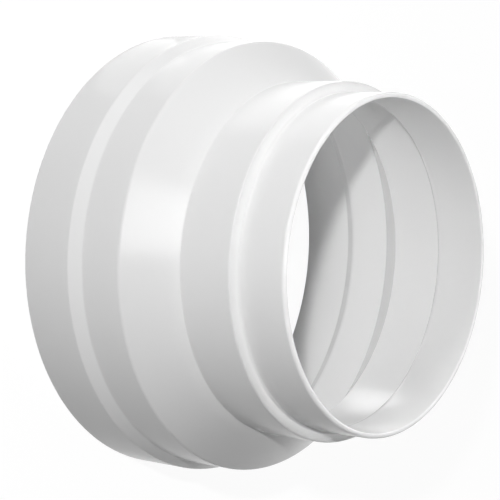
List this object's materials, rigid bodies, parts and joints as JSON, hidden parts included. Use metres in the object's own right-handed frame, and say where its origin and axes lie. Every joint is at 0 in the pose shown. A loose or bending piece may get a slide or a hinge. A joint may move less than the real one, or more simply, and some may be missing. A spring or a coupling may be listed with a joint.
{
  "type": "duct reducer",
  "caption": "Round plastic duct reducer: a wide socket, shoulder and barrel taper down to a collar and a narrower spigot, moulded in one piece.",
  "frame": {"origin": "centre of the wide mouth's rim, on the surface that the reducer stands on", "axes": "+Z along the axis of the fitting, from the wide mouth up to the narrow one; round about Z, so X and Y are free"},
  "size_m": [0.13, 0.13, 0.0787],
  "materials": {
    "moulding": "white moulded plastic, glossy"
  },
  "bodies": {
    "root": {"reducer_body": "moulding"}
  },
  "joints": []
}
